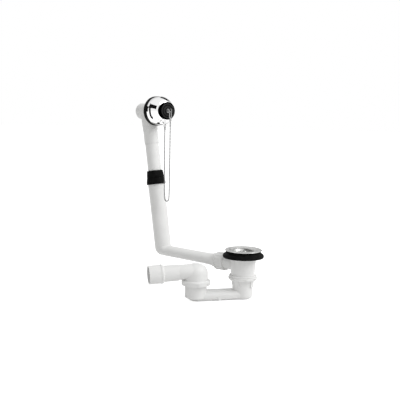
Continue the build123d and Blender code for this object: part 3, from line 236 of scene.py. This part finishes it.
camera.matrix_world = Matrix.Translation(camera_place) @ axes.to_4x4()
bpy.context.scene.camera = camera


# Steps in the shaders
def shader(name):
    """A new material with its node tree and its main shader."""
    material = bpy.data.materials.new(name)
    material.use_nodes = True
    tree = material.node_tree
    return material, tree, tree.nodes["Principled BSDF"]


def noise(tree, scale, detail=CLOUD_DETAIL):
    """A noise value in the frame of the solids."""
    place = tree.nodes.new("ShaderNodeTexCoord")
    texture = tree.nodes.new("ShaderNodeTexNoise")
    texture.inputs["Scale"].default_value = scale
    texture.inputs["Detail"].default_value = detail
    tree.links.new(place.outputs["Object"], texture.inputs["Vector"])
    return texture.outputs["Fac"]


def blend_colour(tree, value, socket, dark, light, low=NOISE_LOW, high=NOISE_HIGH):
    """Feeds a colour socket from a value, from a dark tone to a light one."""
    ramp = tree.nodes.new("ShaderNodeValToRGB")
    ramp.color_ramp.elements[0].position = low
    ramp.color_ramp.elements[0].color = (*dark, 1)
    ramp.color_ramp.elements[1].position = high
    ramp.color_ramp.elements[1].color = (*light, 1)
    tree.links.new(value, ramp.inputs["Fac"])
    tree.links.new(ramp.outputs["Color"], socket)


def spread_value(tree, value, socket, limits, low=NOISE_LOW, high=NOISE_HIGH):
    """Feeds a number socket from a value, spread between two limits."""
    spread = tree.nodes.new("ShaderNodeMapRange")
    spread.inputs["From Min"].default_value = low
    spread.inputs["From Max"].default_value = high
    spread.inputs["To Min"].default_value = limits[0]
    spread.inputs["To Max"].default_value = limits[1]
    tree.links.new(value, spread.inputs["Value"])
    tree.links.new(spread.outputs["Result"], socket)


def grain(tree, scale, socket, depth, strength):
    """Feeds a normal socket from a fine noise."""
    bump = tree.nodes.new("ShaderNodeBump")
    bump.inputs["Distance"].default_value = depth
    bump.inputs["Strength"].default_value = strength
    tree.links.new(noise(tree, scale, GRAIN_DETAIL), bump.inputs["Height"])
    tree.links.new(bump.outputs["Normal"], socket)


def vector_step(tree, operation, first, second=(0, 0, 0)):
    """The node of a vector operation on a socket and a fixed vector."""
    step = tree.nodes.new("ShaderNodeVectorMath")
    step.operation = operation
    step.inputs[1].default_value = second
    tree.links.new(first, step.inputs[0])
    return step


def number_step(tree, operation, first, *numbers):
    """The result of a number operation on a socket and fixed numbers."""
    step = tree.nodes.new("ShaderNodeMath")
    step.operation = operation
    tree.links.new(first, step.inputs[0])
    for socket, number in zip(step.inputs[1:], numbers):
        socket.default_value = number
    return step.outputs["Value"]


def joined_step(tree, operation, first, second):
    """The result of a number operation on two sockets."""
    step = tree.nodes.new("ShaderNodeMath")
    step.operation = operation
    tree.links.new(first, step.inputs[0])
    tree.links.new(second, step.inputs[1])
    return step.outputs["Value"]


# Materials
def white_plastic():
    """Moulded polypropylene, satin, with faint flow clouds and a fine grain."""
    material, tree, main = shader("white_plastic")
    clouds = noise(tree, PLASTIC_CLOUDS)
    blend_colour(tree, clouds, main.inputs["Base Color"], PLASTIC_DARK, PLASTIC_LIGHT)
    spread_value(tree, noise(tree, PLASTIC_PATCHES), main.inputs["Roughness"], PLASTIC_ROUGHNESS)
    grain(tree, PLASTIC_GRAIN, main.inputs["Normal"], MOULDED_GRAIN, PLASTIC_GRAIN_STRENGTH)
    main.inputs["Specular IOR Level"].default_value = PLASTIC_GLOSS
    return material


def rubber(name, gloss):
    """Moulded rubber, matt, with its colour still to be fed."""
    material, tree, main = shader(name)
    spread_value(tree, noise(tree, RUBBER_PATCHES), main.inputs["Roughness"], RUBBER_ROUGHNESS)
    grain(tree, RUBBER_GRAIN, main.inputs["Normal"], MOULDED_GRAIN, RUBBER_GRAIN_STRENGTH)
    main.inputs["Specular IOR Level"].default_value = gloss
    return material, tree, main.inputs["Base Color"]


def black_rubber():
    """The rubber of the seals and the sleeve, clouded."""
    material, tree, colour = rubber("black_rubber", RUBBER_GLOSS)
    blend_colour(tree, noise(tree, RUBBER_CLOUDS), colour, RUBBER_BLACK, RUBBER_CLOUD)
    return material


def plug_rubber(centre, axis):
    """The plug's rubber, with painted highlight in every second ring groove round its axis and a painted
    sheen over its face.
    """
    material, tree, colour = rubber("plug_rubber", PLUG_GLOSS)
    place = tree.nodes.new("ShaderNodeTexCoord")
    offset = vector_step(tree, "SUBTRACT", place.outputs["Object"], centre)
    swept = vector_step(tree, "CROSS_PRODUCT", offset.outputs["Vector"], axis)
    radius = vector_step(tree, "LENGTH", swept.outputs["Vector"]).outputs["Value"]
    from_ring = number_step(tree, "SUBTRACT", radius, RING_START)
    from_groove = number_step(tree, "PINGPONG", from_ring, RING_PITCH / 2)
    beside = number_step(tree, "DIVIDE", from_groove, RING_PITCH / 2)
    nearness = number_step(tree, "ABSOLUTE", number_step(tree, "SUBTRACT", beside, 1))
    on_face = number_step(tree, "COMPARE", radius, FACE_MIDDLE, FACE_REACH)
    # painted highlight: the colour is lighter on every second ring groove and a little lighter over the whole
    # face
    painted_highlight = joined_step(tree, "MULTIPLY", number_step(tree, "ADD", nearness, FACE_PAINTED_SHEEN), on_face)
    blend_colour(tree, painted_highlight, colour, PLUG_BLACK, PLUG_PAINTED_HIGHLIGHT, 0, 1 + FACE_PAINTED_SHEEN)
    return material


def metal(name, dark, light, roughness, grain_scale, grain_strength, edge):
    """A plated or turned metal with a fine grain, and its brightness where it is seen edge on."""
    material, tree, main = shader(name)
    main.inputs["Metallic"].default_value = 1.0
    main.inputs["Specular Tint"].default_value = (edge, edge, edge, 1)
    blend_colour(tree, noise(tree, METAL_CLOUDS), main.inputs["Base Color"], dark, light)
    spread_value(tree, noise(tree, METAL_PATCHES), main.inputs["Roughness"], roughness)
    grain(tree, grain_scale, main.inputs["Normal"], METAL_GRAIN, grain_strength)
    return material


wall_clamp = next(mount for mount in frame["record"]["mounts"] if mount["name"] == "bath_wall_clamp")
looks = {
    "white_plastic": white_plastic(),
    "black_rubber": black_rubber(),
    "plug_rubber": plug_rubber(wall_clamp["pos_m"], wall_clamp["axis"]),
}
for metal_name, metal_values in METALS.items():
    looks[metal_name] = metal(metal_name, *metal_values)

for row in frame["record"]["subparts"]:
    node = frame["nodes"][row["node"]]
    node.data.materials.clear()
    node.data.materials.append(looks[OWN_LOOKS.get(row["node"], row["material_slot"])])
    for polygon in node.data.polygons:
        polygon.use_smooth = True

# Chain: balls on a wire along the route's smooth line
route = bpy.data.curves.new("chain_route", "CURVE")
route.dimensions = "3D"
spline = route.splines.new("NURBS")
spline.points.add(len(CHAIN_ROUTE) - 1)
for point, place in zip(spline.points, CHAIN_ROUTE):
    point.co = (*place, 1)
spline.order_u = ROUTE_ORDER
spline.use_endpoint_u = True
spline.resolution_u = ROUTE_RESOLUTION
route_object = bpy.data.objects.new("chain_route", route)
route_mesh = bpy.data.meshes.new_from_object(route_object)
line = [vertex.co.copy() for vertex in route_mesh.vertices]
bpy.data.meshes.remove(route_mesh)
bpy.data.objects.remove(route_object)


def walk(points, pitch):
    """Points a pitch apart along a line, each with its direction."""
    places = []
    travelled = 0.0
    for start, end in zip(points, points[1:]):
        run = (end - start).length
        while len(places) * pitch <= travelled + run:
            share = (len(places) * pitch - travelled) / run
            places.append((start.lerp(end, share), (end - start).normalized()))
        travelled += run
    return places


def pointed(place, direction):
    """A matrix that moves to a place and turns the Z axis to a direction."""
    return Matrix.Translation(place) @ direction.to_track_quat("Z", "Y").to_matrix().to_4x4()


chain = bmesh.new()
balls = walk(line, BALL_PITCH)
for place, direction in balls:
    bmesh.ops.create_uvsphere(
        chain,
        u_segments=BALL_SEGMENTS,
        v_segments=BALL_RINGS,
        radius=BALL_RADIUS,
        matrix=pointed(place, direction),
    )
for (place, _), (after, _) in zip(balls, balls[1:]):
    bmesh.ops.create_cone(
        chain,
        segments=WIRE_SIDES,
        radius1=CHAIN_WIRE,
        radius2=CHAIN_WIRE,
        depth=BALL_PITCH,
        matrix=pointed((place + after) / 2, after - place),
    )
ball_chain = mesh_object("chain", chain)
ball_chain.data.materials.append(looks["chain_metal"])
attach(ball_chain, "root")
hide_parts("ball_chain")


# Stage: floor, world, lamp and ribbons
def glow(tree, socket, unseen, seen):
    """Feeds a strength with a level for the light on the object, and one for what is seen or mirrored."""
    light_path = tree.nodes.new("ShaderNodeLightPath")
    camera_ray = light_path.outputs["Is Camera Ray"]
    direct = joined_step(tree, "MAXIMUM", camera_ray, light_path.outputs["Is Glossy Ray"])
    share = joined_step(tree, "MAXIMUM", direct, light_path.outputs["Is Transmission Ray"])
    spread_value(tree, share, socket, (unseen, seen), 0, 1)


floor_level = cad_box[0].z
floor_mesh = bmesh.new()
bmesh.ops.create_grid(floor_mesh, size=FLOOR_SIZE, matrix=Matrix.Translation((0, 0, floor_level)))
floor = mesh_object("floor", floor_mesh)
floor_look, floor_tree, floor_main = shader("floor")
floor_main.inputs["Base Color"].default_value = (FLOOR_TONE, FLOOR_TONE, FLOOR_TONE, 1)
floor_main.inputs["Roughness"].default_value = FLOOR_ROUGHNESS
floor_main.inputs["Specular IOR Level"].default_value = 0.0
floor_main.inputs["Emission Color"].default_value = (1, 1, 1, 1)
glow(floor_tree, floor_main.inputs["Emission Strength"], 0, FLOOR_GLOW)
floor.data.materials.append(floor_look)

world = bpy.data.worlds.new("studio")
bpy.context.scene.world = world
world.use_nodes = True
background = world.node_tree.nodes["Background"]
background.inputs["Color"].default_value = (1, 1, 1, 1)
glow(world.node_tree, background.inputs["Strength"], AMBIENT, 1)

middle = (cad_box[0] + cad_box[1]) / 2
key_data = bpy.data.lights.new("key", "AREA")
key_data.size = KEY_SIZE
key_data.energy = KEY_POWER
key = link_object("key", key_data)
key.location = middle + view_right * KEY_PLACE[0] + view_up * KEY_PLACE[1] + view_back * KEY_PLACE[2]
key.rotation_mode = "QUATERNION"
key.rotation_quaternion = (middle - key.location).to_track_quat("-Z", "Y")

flag_look, _, flag_main = shader("flag")
flag_main.inputs["Base Color"].default_value = (FLAG_TONE, FLAG_TONE, FLAG_TONE, 1)
flag_main.inputs["Specular IOR Level"].default_value = 0.0
level_back = Vector((view_back.x, view_back.y, 0)).normalized()


def direction_at(turn_degrees, rise_degrees):
    """A direction, by its turn from the camera to the right and its rise."""
    angle = math.radians(turn_degrees)
    height = math.radians(rise_degrees)
    level = level_right * math.sin(angle) + level_back * math.cos(angle)
    return level * math.cos(height) + Vector((0, 0, math.sin(height)))


def flag_ribbon(name, node, distance, breadth, way):
    """A dark ribbon round a node, which neither the camera nor the light on the object meets."""
    low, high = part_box(node)
    centre = (Vector(low) + Vector(high)) / 2
    spokes = [direction_at(*stop) for stop in way]
    ribbon_mesh = bmesh.new()
    edges = []
    for before, spoke, after in zip(spokes[:1] + spokes, spokes, spokes[1:] + spokes[-1:]):
        side = spoke.cross(after - before).normalized() * breadth / 2
        middle_point = centre + spoke * distance
        edges.append([ribbon_mesh.verts.new(middle_point + side), ribbon_mesh.verts.new(middle_point - side)])
    for first, second in zip(edges, edges[1:]):
        ribbon_mesh.faces.new((first[0], first[1], second[1], second[0]))
    ribbon = mesh_object(name, ribbon_mesh)
    ribbon.visible_camera = False
    ribbon.visible_diffuse = False
    ribbon.visible_shadow = False
    ribbon.data.materials.append(flag_look)


for flag_name, flag_values in FLAGS.items():
    flag_ribbon(flag_name, *flag_values)

bpy.context.scene.view_settings.view_transform = "Standard"
